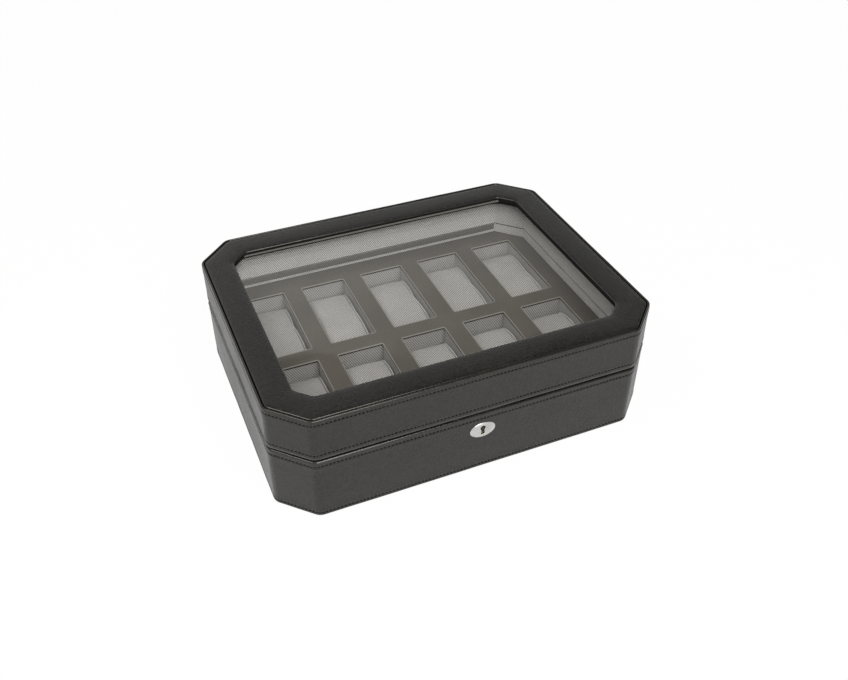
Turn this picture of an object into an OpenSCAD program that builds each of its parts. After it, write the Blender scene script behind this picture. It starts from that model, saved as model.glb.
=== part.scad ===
// A watch box for ten watches: a base and a hinged lid of board covered in leatherette, with a
// glass window in the lid, a tray of ten wells with a lift-out cuff in each, and a box lock.
// It stands on z = 0 at its middle, with the lock towards -Y and the hinges towards +Y. Millimetres.

/* [Box] */
// Width over the side faces
box_w = 330; // [324:1:340]
// Depth from the front face to the back face
box_d = 259; // [254:1:266]
// Height of the shut box
box_h = 101; // [98:1:108]
// Leg of the 45 degree cut across each corner
corner_cut = 28; // [26:1:32]
// Radius of the leatherette where two faces meet
edge_r = 10; // [10:0.5:12]
// Height of the base up to its rim
base_h = 60; // [58:0.5:62]
// Gap between the rims of the shut box
rim_gap = 1.2; // [1:0.1:1.6]

/* [Walls] */
// Thickness of the leatherette
leather_t = 1.2; // [1:0.1:1.4]
// Thickness of the carcass boards
board_t = 8.1; // [8:0.1:9]
// Thickness of the woven lining
lining_t = 1.2; // [0.8:0.1:1.4]
// How far the rolled rim of the base stands out from its faces
rim_proud = 0.4; // [0.2:0.1:0.6]

/* [Lid] */
// Width of the padded frame round the window
frame_w = 26.5; // [24:0.5:28]
// Radius of the window's corners
window_r = 7; // [5:0.5:9]
// Thickness of the top panel above the glass
panel_t = 5.5; // [5:0.1:6]
// Thickness of the glass
glass_t = 3; // [2:0.5:3]
// Angle to which the lid opens
lid_open = 95; // [90:1:98]

/* [Tray] */
// Distance between the middles of two wells side by side
pitch_x = 58.4; // [57:0.2:59]
// Width of a window in the tray
well_w = 40; // [39:0.5:41]
// Length of a window in the tray
well_l = 88; // [86:0.5:89]
// Width of the bar between the two rows
middle_bar = 17.6; // [17:0.2:19]
// Height of the tray's top face above the surface
tray_top = 52; // [50:0.5:54]
// Thickness of the tray frame
tray_t = 2.4; // [2:0.1:3]

/* [Cuffs] */
// Width of a cuff
cuff_w = 38.4; // [37:0.1:38.4]
// Length of a cuff
cuff_l = 86; // [80:0.5:86]
// Height of a cuff
cuff_h = 34.4; // [30:0.2:36]

/* [Hinges] */
// Length of a hinge
hinge_l = 38; // [34:1:44]
// Distance of each hinge from the middle of the box
hinge_x = 100; // [80:1:105]
// Radius of a hinge knuckle
knuckle_r = 2.2; // [2:0.1:2.4]
// Radius of a hinge pin
pin_r = 1; // [0.8:0.1:1.2]

/* [Lock] */
// Height of the keyhole's round part above the surface
key_z = 45; // [44:0.5:46]
// Length of the oval escutcheon
escutcheon_l = 22; // [18:0.5:26]
// Height of the oval escutcheon
escutcheon_h = 15; // [13:0.5:17]
// Travel of the bolt
bolt_travel = 4; // [3:0.5:4]

/* [Hidden] */

leather_colour = "#3b3a38";
taupe_colour = "#68655f";
weave_colour = "#a5a3a0";
board_colour = "#a3855c";
metal_colour = "#c9c8c4";
felt_colour = "#262626";
glass_colour = [0.85, 0.9, 0.9, 0.35];

columns = 5;
arc_steps = 3;          // flats in each rounded corner of a board
roll_steps = 4;         // flats in each rolled edge of the leatherette
joint_fit = 0.1;        // play of one board in another's slot
past = 1;               // how far a cutter runs past what it cuts

// Insets from the outer faces
wall_t = leather_t + board_t;
inside = wall_t + lining_t;
cut_shrink = 2 - sqrt(2);   // how much the corner's leg shortens for each millimetre of inset

// Heights, from the surface up
felt_t = 0.8;
floor_z = 8;                            // top of the bottom panel
well_z = floor_z + lining_t;
tray_z = tray_top - tray_t;
lid_z = base_h + rim_gap;
shelf_z = box_h - panel_t;              // top of the lid's carcass, where the top panel lies
glass_z = shelf_z - glass_t;
retainer_t = 4;
retainer_z = glass_z - retainer_t;

// Rolled edges
hem_r = 1.6;
lip_t = 1.8;                            // the lid's free lip is leatherette folded double
lip_top = box_h - 0.2;
panel_inset = 2.8;
panel_skin = 1.1;
panel_r = 1.6;
window_roll = 2.2;

// Window and glass
window_w = box_w - 2 * frame_w;
window_d = box_d - 2 * frame_w;
window_cut = corner_cut - frame_w * cut_shrink;
glass_lap = 12;
retainer_set = 8.5; // how far the retainer stays back from the window's edge

// Wells
wall_set_back = 1;                      // the wells' walls stand this far behind the window's edge
wells_x = (columns - 1) / 2 * pitch_x + well_w / 2 + wall_set_back;
wells_y = middle_bar / 2 + well_l + wall_set_back;
cross_t = pitch_x - well_w - 2 * wall_set_back;
middle_t = middle_bar - 2 * wall_set_back;
rail_t = 10;
well_y = middle_bar / 2 + well_l / 2;   // middle of the rear row
cuff_gap = 0.4;                         // between a cuff and the wells' floor
oval_power = 3.2;                       // how square the cuff's oval is

// Hinges. The back of both rims slopes away from the pin, and the slopes almost meet when the lid is open.
hinge_y = box_d / 2 - 3.5;
hinge_z = base_h + rim_gap / 2;
stop_gap = 0.3;
slope = lid_open / 2;
swing_gap = 0.4;
knuckles = 5;
knuckle_gap = 0.3;
knuckle_pitch = hinge_l / knuckles;
leaf_y = box_d / 2 - wall_t + 0.1;
leaf_l_y = hinge_y - knuckle_r - swing_gap - leaf_y;
hinge_screw_r = 0.7;
hinge_head_r = 1.3;
hinge_screw_l = 9;
hinge_screw_pitch = 13;

// Lock
lock_y = -box_d / 2 + leather_t + 4;    // middle of the case's thickness
case_w = 42;
case_t = 6;
case_wall = 0.8;
case_top = base_h - leather_t;
case_h = 22.4;
plate_w = 51;
plate_t_y = 6.6;
plate_y = -box_d / 2 + wall_t - 0.1 - plate_t_y;
key_r = 2.25;
key_drop = 6.5;                         // from the middle of the keyhole's round part to its foot
escutcheon_drop = 2.2;                  // from there to the middle of the escutcheon
post_r = 0.9;
lock_screw_r = 0.9;
lock_head_r = 1.8;
lock_screw_x = 23.2;
lock_screw_l = 10;
tongue_t = 2;
tongue_z = 48.2;
hook_x = 9.7;
hook_w = 4;
hook_h = 3.6;
shank_w = 3.6;
bolt_t = 3.2;
bolt_z = tongue_z + hook_h + 0.6;
bolt_h = 3.6;
stud_r = 0.8;
stud_fit = 0.08;
stud_x = -12;

// ---------- Outlines ----------

// The eight corners of a box outline, counter-clockwise from the right-hand face's rear end
function corner_points(w, d, cut) = [
    [w / 2, d / 2 - cut], [w / 2 - cut, d / 2], [cut - w / 2, d / 2], [-w / 2, d / 2 - cut],
    [-w / 2, cut - d / 2], [cut - w / 2, -d / 2], [w / 2 - cut, -d / 2], [w / 2, cut - d / 2]
];

function direction(angle) = [cos(angle), sin(angle)];

// Middle of the arc of radius r that rounds corner k at point p
function arc_middle(p, k, r) = p - r / cos(22.5) * direction(45 * k + 22.5);

function outline(w, d, cut, r) =
    let (corners = corner_points(w, d, cut), steps = r > 0 ? arc_steps : 0)
    [for (k = [0:7], i = [0:steps]) arc_middle(corners[k], k, r) + r * direction(45 * (k + i / arc_steps))];

// The box outline moved inwards
function wall_line(inset) =
    let (cut = corner_cut - inset * cut_shrink)
    outline(box_w - 2 * inset, box_d - 2 * inset, cut, max(edge_r - inset, 0));

// The window outline moved outwards
function window_line(grow) =
    let (cut = window_cut + grow * cut_shrink)
    outline(window_w + 2 * grow, window_d + 2 * grow, cut, window_r + grow);

// A rolled edge as pairs of inset and height, round a middle. 0 faces outwards, 90 upwards and 180 inwards.
function roll(inset, z, r, from, to) =
    [
        for (i = [0:roll_steps])
            let (angle = from + (to - from) * i / roll_steps)
            [inset - r * cos(angle), z + r * sin(angle)]
    ];

// A squarish oval, from the cuff's front end round its top
function oval(l, h) = [
    for (a = [7.5:15:359])
        [
            l / 2 * sign(cos(a)) * pow(abs(cos(a)), 2 / oval_power),
            h / 2 * sign(sin(a)) * pow(abs(sin(a)), 2 / oval_power)
        ]
];

// ---------- Shapes that repeat ----------

// One closed solid through a stack of outlines. Each level is a pair of an outline and its height.
module loft(levels) {
    n = len(levels[0][0]);
    top = len(levels) - 1;
    points = [for (level = levels, p = level[0]) [p.x, p.y, level[1]]];
    sides = [
        for (i = [0:top - 1], k = [0:n - 1])
            let (next = (k + 1) % n)
            [i * n + k, (i + 1) * n + k, (i + 1) * n + next, i * n + next]
    ];
    polyhedron(points, concat([[for (k = [0:n - 1]) k]], sides, [[for (k = [n - 1:-1:0]) top * n + k]]));
}

// The box outline lofted through pairs of inset and height
module walls(levels) {
    loft([for (level = levels) [wall_line(level[0]), level[1]]]);
}

// A flat ring between two outlines
module ring(outer, inner, z, h) {
    translate([0, 0, z])
        linear_extrude(h)
            difference() {
                polygon(outer);
                polygon(inner);
            }
}

module plate(outer, z, h) {
    translate([0, 0, z]) linear_extrude(h) polygon(outer);
}

// Turns what belongs to the base's rim over, to the lid's rim
module to_lid() {
    translate([0, 0, 2 * hinge_z]) mirror([0, 0, 1]) children();
}

// A shape drawn across the box (y, z), carried along its width
module along_width(l) {
    rotate([90, 0, 90]) linear_extrude(l, center = true) children();
}

// Clears the back of the base's rim down the slope. It lies deeper by the depth given.
module rear_bevel(depth) {
    top = base_h - depth;
    start_y = hinge_y - (stop_gap + depth + (top - hinge_z) * cos(slope)) / sin(slope);
    run = 12;
    along_width(box_w + 2 * past)
        polygon([
            [start_y, top],
            [start_y + run, top - run * tan(slope)],
            [start_y + run, top + run],
            [start_y, top + run]
        ]);
}

module for_each_hinge() {
    for (side = [-1, 1])
        translate([side * hinge_x, 0, 0]) children();
}

module along_hinge(r, l) {
    translate([0, hinge_y, hinge_z]) rotate([0, 90, 0]) cylinder(r = r, h = l, center = true, $fn = 48);
}

// Room in the base's rim for a hinge leaf and for the knuckles as they turn
module hinge_recess() {
    for_each_hinge() {
        along_hinge(knuckle_r + swing_gap, hinge_l + 2 * swing_gap);
        translate([-hinge_l / 2 - joint_fit, box_d / 2 - wall_t, base_h - leather_t])
            cube([hinge_l + 2 * joint_fit, hinge_y - box_d / 2 + wall_t, leather_t + past]);
    }
}

// Room in the leatherette of the rim for the lock's face plate
module face_plate_recess() {
    translate([-plate_w / 2 - joint_fit, plate_y - joint_fit, base_h - leather_t])
        cube([plate_w + 2 * joint_fit, box_d / 4, leather_t + past]);
}

module hinge_screw_places() {
    for_each_hinge()
        for (i = [-1, 0, 1])
            translate([i * hinge_screw_pitch, leaf_y + leaf_l_y / 2, base_h]) children();
}

// A countersunk screw that stands head up at z = 0
module screw(shank_r, head_r, l) {
    head_h = head_r - shank_r;
    translate([0, 0, -head_h]) cylinder(r1 = shank_r, r2 = head_r, h = head_h, $fn = 32);
    translate([0, 0, -l]) cylinder(r = shank_r, h = l - head_h, $fn = 32);
}

module hinge_screw() {
    screw(hinge_screw_r, hinge_head_r, hinge_screw_l);
}

module lock_screw_places() {
    for (side = [-1, 1])
        translate([side * lock_screw_x, plate_y + plate_t_y / 2, base_h]) children();
}

module lock_screw() {
    screw(lock_screw_r, lock_head_r, lock_screw_l);
}

// One leaf of each hinge with its own knuckles, the first, third and fifth or the second and fourth
module hinge_leaves(own, bore_r) {
    difference() {
        for_each_hinge() {
            translate([-hinge_l / 2, leaf_y, base_h - leather_t]) cube([hinge_l, leaf_l_y, leather_t]);
            for (i = own)
                translate([(i - (knuckles - 1) / 2) * knuckle_pitch, 0, 0]) {
                    along_hinge(knuckle_r, knuckle_pitch - knuckle_gap);
                    translate([-(knuckle_pitch - knuckle_gap) / 2, leaf_y + 1, base_h - leather_t])
                        cube([knuckle_pitch - knuckle_gap, hinge_y - leaf_y - 1, leather_t]);
                }
        }
        for_each_hinge() along_hinge(bore_r, hinge_l + 2 * past);
        hinge_screw_places() hinge_screw();
    }
}

// The keyhole, seen from the front: a round hole with a slot that widens to its foot
module keyhole(grow) {
    circle(r = key_r + grow, $fn = 48);
    polygon([
        [-1.1 - grow, 0], [-1.7 - grow, -key_drop - grow], [1.7 + grow, -key_drop - grow], [1.1 + grow, 0]
    ]);
}

// A shape drawn on the front (x, z from the keyhole), from depth y0 back to y1
module on_front(y0, y1) {
    translate([0, y1, key_z]) rotate([90, 0, 0]) linear_extrude(y1 - y0) children();
}

// ---------- Base ----------

module base_felt() {
    color(felt_colour) plate(wall_line(3), 0, felt_t);
}

module base_bottom_panel() {
    color(board_colour) plate(wall_line(wall_t), felt_t, floor_z - felt_t);
}

// The four walls and four corner walls, with room for the lock and the hinges
module base_carcass() {
    color(board_colour)
        difference() {
            ring(wall_line(leather_t), wall_line(wall_t), felt_t + leather_t, case_top - felt_t - leather_t);
            rear_bevel(leather_t);
            hinge_recess();
            hinge_screw_places() hinge_screw();
            lock_screw_places() lock_screw();
            translate([-case_w / 2 - 0.2, lock_y - case_t / 2 - 0.2, case_top - case_h - 0.2])
                cube([case_w + 0.4, box_d / 4, case_h + past]);
            on_front(-box_d / 2, lock_y) keyhole(0.6);
        }
}

// One skin from the turn-in under the bottom, up the faces and over the rolled rim
module base_leather() {
    color(leather_colour)
        difference() {
            walls(concat(
                roll(hem_r, felt_t + hem_r, hem_r, -90, 0),
                [[0, base_h - 4]],
                roll(hem_r - rim_proud, base_h - hem_r, hem_r, 0, 90)
            ));
            difference() {
                plate(wall_line(leather_t), felt_t + leather_t, base_h - felt_t - 2 * leather_t);
                rear_bevel(leather_t);
            }
            plate(wall_line(wall_t), -past, base_h + 2 * past);
            rear_bevel(0);
            hinge_recess();
            face_plate_recess();
            on_front(-box_d / 2 - past, lock_y) keyhole(0.6);
        }
}

module base_lining() {
    color(weave_colour) ring(wall_line(wall_t), wall_line(inside), floor_z, base_h - floor_z);
}

module floor_lining() {
    color(weave_colour) plate(wall_line(inside), floor_z, lining_t);
}

module hinge_cover_strip() {
    l = box_w - 2 * inside - 2 * (corner_cut - inside * cut_shrink) - 2;
    color(taupe_colour)
        translate([-l / 2, box_d / 2 - inside - 1, base_h - 5.5]) cube([l, 1, 5.5]);
}

// ---------- Wells and tray ----------

module rail(l, x, y, angle) {
    color(weave_colour)
        translate([x, y, well_z])
            rotate([0, 0, angle]) translate([-l / 2, 0, 0]) cube([l, rail_t, tray_z - well_z]);
}

module front_rail() {
    rail(2 * wells_x + rail_t, 0, -wells_y, 180);
}

module rear_rail() {
    rail(2 * wells_x + rail_t, 0, wells_y, 0);
}

module left_rail() {
    rail(2 * wells_y, -wells_x, 0, 90);
}

module right_rail() {
    rail(2 * wells_y, wells_x, 0, -90);
}

module for_each_cross() {
    for (i = [0:columns - 2])
        translate([(i - (columns - 2) / 2) * pitch_x, 0, 0]) children();
}

// The long board between the two rows, slotted from above for the cross boards
module lengthwise_divider() {
    h = tray_z - well_z;
    color(weave_colour)
        difference() {
            translate([-wells_x, -middle_t / 2, well_z]) cube([2 * wells_x, middle_t, h]);
            for_each_cross()
                translate([-cross_t / 2 - joint_fit, -middle_t / 2 - past, well_z + h / 2])
                    cube([cross_t + 2 * joint_fit, middle_t + 2 * past, h]);
        }
}

// A board between two wells of both rows, slotted from below to drop over the long board
module cross_divider(i) {
    h = tray_z - well_z;
    color(weave_colour)
        translate([(i - (columns - 2) / 2) * pitch_x, 0, well_z])
            difference() {
                translate([-cross_t / 2, -wells_y, 0]) cube([cross_t, 2 * wells_y, h]);
                translate([-cross_t, -middle_t / 2 - joint_fit, -past])
                    cube([2 * cross_t, middle_t + 2 * joint_fit, h / 2 + past]);
            }
}

module for_each_well() {
    for (row = [-1, 1], i = [0:columns - 1])
        translate([(i - (columns - 1) / 2) * pitch_x, row * well_y, 0]) children();
}

module tray_frame() {
    color(taupe_colour)
        difference() {
            plate(wall_line(inside + 0.3), tray_z, tray_t);
            for_each_well()
                translate([-well_w / 2, -well_l / 2, tray_z - past])
                    cube([well_w, well_l, tray_t + 2 * past]);
        }
}

// ---------- Cuffs ----------

// Cuffs 1 to 5 lie in the rear row and 6 to 10 in the front row, each from left to right
module cuff(number) {
    row = number > columns ? -1 : 1;
    column = (number - 1) % columns;
    soft_edge = 2;
    color(weave_colour)
        translate([(column - (columns - 1) / 2) * pitch_x, row * well_y, well_z + cuff_gap + cuff_h / 2])
            hull() {
                along_width(cuff_w) polygon(oval(cuff_l - 2 * soft_edge, cuff_h - 2 * soft_edge));
                along_width(cuff_w - 2 * soft_edge) polygon(oval(cuff_l, cuff_h));
            }
}

// ---------- Lock ----------

function ellipse(l, h) = [for (a = [0:6:359]) [l / 2 * cos(a), h / 2 * sin(a)]];

// An oval plate with a stepped edge. The keyhole's round part lies above its middle.
module escutcheon() {
    face_y = -box_d / 2;
    step = 0.8;
    color(metal_colour)
        difference() {
            translate([0, 0, -escutcheon_drop]) {
                on_front(face_y - 0.5, face_y) polygon(ellipse(escutcheon_l, escutcheon_h));
                on_front(face_y - 0.9, face_y)
                    polygon(ellipse(escutcheon_l - 2 * step, escutcheon_h - 2 * step));
            }
            on_front(face_y - past, face_y + past) keyhole(0);
        }
}

// A shallow tray of sheet metal, open at the back and at the top
module lock_case() {
    front_y = lock_y - case_t / 2;
    color(metal_colour)
        difference() {
            translate([-case_w / 2, front_y, case_top - case_h]) cube([case_w, case_t - case_wall, case_h]);
            translate([-case_w / 2 + case_wall, front_y + case_wall, case_top - case_h + case_wall])
                cube([case_w - 2 * case_wall, case_t, case_h]);
            on_front(front_y - past, front_y + case_wall + past) keyhole(0.3);
        }
}

// The case's back, with the post that the key turns on and the stud that guides the bolt
module lock_cover() {
    back_y = lock_y + case_t / 2;
    color(metal_colour) {
        translate([-case_w / 2, back_y - case_wall, case_top - case_h]) cube([case_w, case_wall, case_h]);
        on_front(lock_y - bolt_t / 2, back_y) {
            circle(r = post_r, $fn = 32);
            translate([stud_x, bolt_z + bolt_h / 2 - key_z]) circle(r = stud_r, $fn = 32);
        }
    }
}

// The plate let into the rim, with the slot that the lid's tongue drops through
module lock_face_plate() {
    slot_x = [hook_x - 0.8, hook_x + hook_w + shank_w + 0.8];
    color(metal_colour)
        difference() {
            translate([-plate_w / 2, plate_y, base_h - leather_t]) cube([plate_w, plate_t_y, leather_t]);
            translate([slot_x[0], lock_y - tongue_t / 2 - 1, base_h - leather_t - past])
                cube([slot_x[1] - slot_x[0], tongue_t + 2, leather_t + 2 * past]);
            lock_screw_places() lock_screw();
        }
}

module lock_screws() {
    color(metal_colour) lock_screw_places() lock_screw();
}

// A sliding bar whose two legs the key's bit pushes, guided by the stud in its slot
module lock_bolt() {
    tip_x = hook_x - 0.5;
    leg_w = 3;
    leg_h = 4.9;
    left_leg_x = -bolt_travel - 2.1 - leg_w;
    slot_r = stud_r + stud_fit;
    color(metal_colour)
        on_front(lock_y - bolt_t / 2, lock_y + bolt_t / 2)
            translate([0, bolt_z - key_z])
                difference() {
                    union() {
                        translate([-17.5, 0]) square([tip_x + 17.5, bolt_h]);
                        translate([left_leg_x, -leg_h]) square([leg_w, leg_h + 1]);
                        translate([2.1, -leg_h]) square([leg_w, leg_h + 1]);
                    }
                    for (x = [stud_x - bolt_travel, stud_x])
                        translate([x, bolt_h / 2]) circle(r = slot_r, $fn = 32);
                    translate([stud_x - bolt_travel, bolt_h / 2 - slot_r]) square([bolt_travel, 2 * slot_r]);
                }
}

// The plate in the lid's rim, with a hook that the bolt slides over
module strike_plate() {
    shank_x = hook_x + hook_w;
    color(metal_colour) {
        difference() {
            to_lid()
                translate([-plate_w / 2, plate_y, base_h - leather_t]) cube([plate_w, plate_t_y, leather_t]);
            to_lid() lock_screw_places() lock_screw();
        }
        translate([shank_x, lock_y - tongue_t / 2, tongue_z])
            cube([shank_w, tongue_t, lid_z + leather_t / 2 - tongue_z]);
        translate([hook_x, lock_y - tongue_t / 2, tongue_z]) cube([hook_w + 1, tongue_t, hook_h]);
    }
}

module strike_screws() {
    color(metal_colour) to_lid() lock_screw_places() lock_screw();
}

// ---------- Hinges ----------

module hinge_base_leaves() {
    color(metal_colour) hinge_leaves([0, 2, 4], pin_r);
}

module hinge_lid_leaves() {
    color(metal_colour) to_lid() hinge_leaves([1, 3], pin_r + 0.05);
}

module hinge_pins() {
    color(metal_colour) for_each_hinge() along_hinge(pin_r, hinge_l);
}

module hinge_base_screws() {
    color(metal_colour) hinge_screw_places() hinge_screw();
}

module hinge_lid_screws() {
    color(metal_colour) to_lid() hinge_screw_places() hinge_screw();
}

// ---------- Lid ----------

module lid_carcass() {
    color(board_colour)
        difference() {
            ring(wall_line(leather_t), wall_line(wall_t), lid_z + leather_t, shelf_z - lid_z - leather_t);
            to_lid() {
                rear_bevel(leather_t);
                hinge_recess();
                hinge_screw_places() hinge_screw();
                lock_screw_places() lock_screw();
            }
        }
}

// One skin from the turn-in of the rim, up the faces, to the free lip round the top panel
module lid_leather() {
    lip_r = lip_t / 2;
    color(leather_colour)
        difference() {
            walls(concat(
                roll(hem_r, lid_z + hem_r, hem_r, -90, 0),
                roll(lip_r, lip_top - lip_r, lip_r, 0, 180),
                [[lip_t, shelf_z]]
            ));
            difference() {
                plate(wall_line(leather_t), lid_z + leather_t, shelf_z - lid_z - leather_t);
                to_lid() rear_bevel(leather_t);
            }
            plate(wall_line(wall_t), lid_z - past, box_h);
            to_lid() {
                rear_bevel(0);
                hinge_recess();
                face_plate_recess();
            }
        }
}

module lid_lining() {
    color(weave_colour) ring(wall_line(wall_t), wall_line(inside), lid_z, retainer_z - lid_z);
}

module lid_top_board() {
    color(board_colour)
        ring(wall_line(panel_inset + panel_skin), window_line(panel_skin), shelf_z, panel_t - panel_skin);
}

// The skin of the padded frame, rolled over its outer edge and over the window's edge
module lid_top_cover() {
    window_edge = [
        for (i = [0:roll_steps])
            let (angle = 90 * i / roll_steps)
            [window_roll * (1 - cos(angle)), box_h - window_roll * (1 - sin(angle))]
    ];
    window = concat([[0, shelf_z - past]], window_edge, [[window_roll, box_h + past]]);
    color(leather_colour)
        difference() {
            walls(concat(
                [[panel_inset, shelf_z]],
                roll(panel_inset + panel_r, box_h - panel_r, panel_r, 0, 90)
            ));
            loft([for (level = window) [window_line(level[0]), level[1]]]);
            ring(
                wall_line(panel_inset + panel_skin), window_line(panel_skin),
                shelf_z - past, panel_t - panel_skin + past
            );
        }
}

module glass_pane() {
    color(glass_colour) plate(wall_line(frame_w - glass_lap), glass_z, glass_t);
}

module glass_packing() {
    color(felt_colour) ring(wall_line(wall_t), wall_line(frame_w - glass_lap), glass_z, glass_t);
}

module glass_retainer() {
    color(leather_colour) ring(wall_line(wall_t), window_line(retainer_set), retainer_z, retainer_t);
}

base_felt();
base_bottom_panel();
base_carcass();
base_leather();
base_lining();
floor_lining();
hinge_cover_strip();
front_rail();
rear_rail();
left_rail();
right_rail();
lengthwise_divider();
cross_divider(0);  // cross_divider_1
cross_divider(1);  // cross_divider_2
cross_divider(2);  // cross_divider_3
cross_divider(3);  // cross_divider_4
tray_frame();
escutcheon();
lock_case();
lock_cover();
lock_face_plate();
lock_screws();
lock_bolt();
hinge_base_leaves();
hinge_pins();
hinge_base_screws();
lid_carcass();
lid_leather();
lid_lining();
lid_top_board();
lid_top_cover();
glass_pane();
glass_packing();
glass_retainer();
strike_plate();
strike_screws();
hinge_lid_leaves();
hinge_lid_screws();
cuff(1);  // cuff_01
cuff(2);  // cuff_02
cuff(3);  // cuff_03
cuff(4);  // cuff_04
cuff(5);  // cuff_05
cuff(6);  // cuff_06
cuff(7);  // cuff_07
cuff(8);  // cuff_08
cuff(9);  // cuff_09
cuff(10);  // cuff_10
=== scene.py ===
import math
import random

import bmesh
import bpy
import numpy as np
from mathutils import Matrix, Vector

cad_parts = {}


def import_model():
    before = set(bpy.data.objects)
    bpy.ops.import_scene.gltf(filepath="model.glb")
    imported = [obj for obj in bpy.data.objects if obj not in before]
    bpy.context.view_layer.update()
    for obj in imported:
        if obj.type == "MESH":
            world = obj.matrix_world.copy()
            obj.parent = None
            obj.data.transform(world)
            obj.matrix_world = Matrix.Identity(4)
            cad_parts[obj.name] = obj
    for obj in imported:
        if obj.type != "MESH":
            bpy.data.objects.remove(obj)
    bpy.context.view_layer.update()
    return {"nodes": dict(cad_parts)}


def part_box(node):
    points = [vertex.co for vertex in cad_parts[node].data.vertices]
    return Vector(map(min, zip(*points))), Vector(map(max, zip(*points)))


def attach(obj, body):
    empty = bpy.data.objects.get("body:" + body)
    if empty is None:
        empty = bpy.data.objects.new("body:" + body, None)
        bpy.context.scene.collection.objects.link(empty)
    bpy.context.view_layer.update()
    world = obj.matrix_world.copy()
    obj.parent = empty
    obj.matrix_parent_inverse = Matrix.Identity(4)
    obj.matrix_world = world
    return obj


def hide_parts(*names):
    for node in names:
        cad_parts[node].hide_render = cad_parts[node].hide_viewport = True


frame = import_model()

MM = 0.001

# ---------- Sizes, in millimetres, as in the CAD ----------

BOX_W, BOX_D, BOX_H = 330.0, 259.0, 101.0
CORNER_CUT, EDGE_R = 28.0, 10.0
CUT_SHRINK = 2 - math.sqrt(2)
BASE_H, LID_Z = 60.0, 61.2
LEATHER_T, WALL_T, INSIDE = 1.2, 9.3, 10.5
RIM_PROUD, HEM_R, LIP_T, LIP_TOP = 0.4, 1.6, 1.8, 100.8
SHELF_Z = 95.5
PANEL_INSET, PANEL_SKIN, PANEL_R = 2.8, 1.1, 0.9
FRAME_W, WINDOW_R, WINDOW_ROLL = 26.5, 7.0, 1.0
HINGE_X, HINGE_L, HINGE_Y, HINGE_Z, KNUCKLE_R = 100.0, 38.0, 126.0, 60.6, 2.2
SLOPE, STOP_GAP, SWING_GAP, FIT = math.radians(47.5), 0.3, 0.4, 0.1
PITCH_X, WELL_W, WELL_L, WELL_Y = 58.4, 40.0, 88.0, 52.8
TRAY_TOP, TRAY_T = 52.0, 2.4
PLATE_W, PLATE_Y = 51.0, -126.9
KEY_Z, KEY_R, KEY_DROP = 45.0, 2.25, 6.5
CUFF_W, CUFF_L, CUFF_H, CUFF_Z = 38.4, 85.5, 34.2, 9.7
STITCH = 3.1
BASE_SEAMS, LID_SEAMS = (4.4, 54.6), (66.4, 96.2)

# ---------- Materials ----------


class Nodes:
    """The shader nodes of one material or world, and short ways to add and link them."""

    def __init__(self, name, kind="materials", output="OutputMaterial"):
        self.owner = getattr(bpy.data, kind).new(name)
        self.owner.use_nodes = True
        self.tree = self.owner.node_tree
        self.tree.nodes.clear()
        self.out = self.add(output)

    def add(self, kind, links=None, **settings):
        node = self.tree.nodes.new("ShaderNode" + kind)
        for key, value in settings.items():
            setattr(node, key, value)
        for key, value in (links or {}).items():
            self.put(node.inputs[key], value)
        return node

    def put(self, socket, value):
        if isinstance(value, bpy.types.NodeSocket):
            self.tree.links.new(value, socket)
        elif isinstance(value, bpy.types.Node):
            self.tree.links.new(value.outputs[0], socket)
        else:
            socket.default_value = value

    def math(self, operation, *values):
        node = self.add("Math", operation=operation)
        for i, value in enumerate(values):
            self.put(node.inputs[i], value)
        return node.outputs[0]

    def vector(self, operation, *values):
        node = self.add("VectorMath", operation=operation)
        for i, value in enumerate(values):
            self.put(node.inputs[i], value)
        return node.outputs["Value" if operation in ("DOT_PRODUCT", "LENGTH") else "Vector"]

    def plus(self, a, b, weight):
        """a + b * weight"""
        return self.math("ADD", a, self.math("MULTIPLY", b, weight))

    def saw(self, value):
        """1 at each whole number and 0 half way between two."""
        fraction = self.math("MULTIPLY", self.math("FRACT", value), 2.0)
        return self.math("ABSOLUTE", self.math("SUBTRACT", fraction, 1.0))

    def clamp(self, value, low, high):
        return self.math("MINIMUM", self.math("MAXIMUM", value, low), high)

    def place(self):
        return self.add("TexCoord").outputs["Object"]

    def axes(self, vector):
        return self.add("SeparateXYZ", {"Vector": vector}).outputs

    def attribute(self, name):
        return self.add("Attribute", attribute_name=name, attribute_type="GEOMETRY").outputs["Fac"]

    def noise(self, vector, scale, detail=3.0, roughness=0.5):
        return self.add(
            "TexNoise", {"Vector": vector, "Scale": scale, "Detail": detail, "Roughness": roughness}
        ).outputs["Fac"]

    def ramp(self, value, low, high, to_low=0.0, to_high=1.0, smooth=True):
        node = self.add(
            "MapRange",
            {"Value": value, "From Min": low, "From Max": high, "To Min": to_low, "To Max": to_high},
            interpolation_type="SMOOTHSTEP" if smooth else "LINEAR",
        )
        return node.outputs["Result"]

    def mix(self, factor, a, b):
        node = self.add("Mix", data_type="RGBA")
        self.put(node.inputs["Factor"], factor)
        self.put(node.inputs[6], a)
        self.put(node.inputs[7], b)
        return node.outputs[2]

    def bump(self, height, distance):
        return self.add("Bump", {"Height": height, "Distance": distance, "Strength": 1.0}).outputs[0]

    def blend(self, factor, a, b):
        """A shader mixed from two others."""
        node = self.add("MixShader")
        for i, value in enumerate((factor, a, b)):
            self.put(node.inputs[i], value)
        return node

    def finish(self, shader):
        self.put(self.out.inputs[0], shader)
        return self.owner

    def principled(self, **values):
        node = self.add("BsdfPrincipled")
        for key, value in values.items():
            self.put(node.inputs[key.replace("_", " ")], value)
        return self.finish(node)


def grey(value, warm=0.0):
    """A linear grey, a little warmer where warm is above 0."""
    return (value * (1 + warm), value, value * (1 - 1.6 * warm), 1.0)


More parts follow.
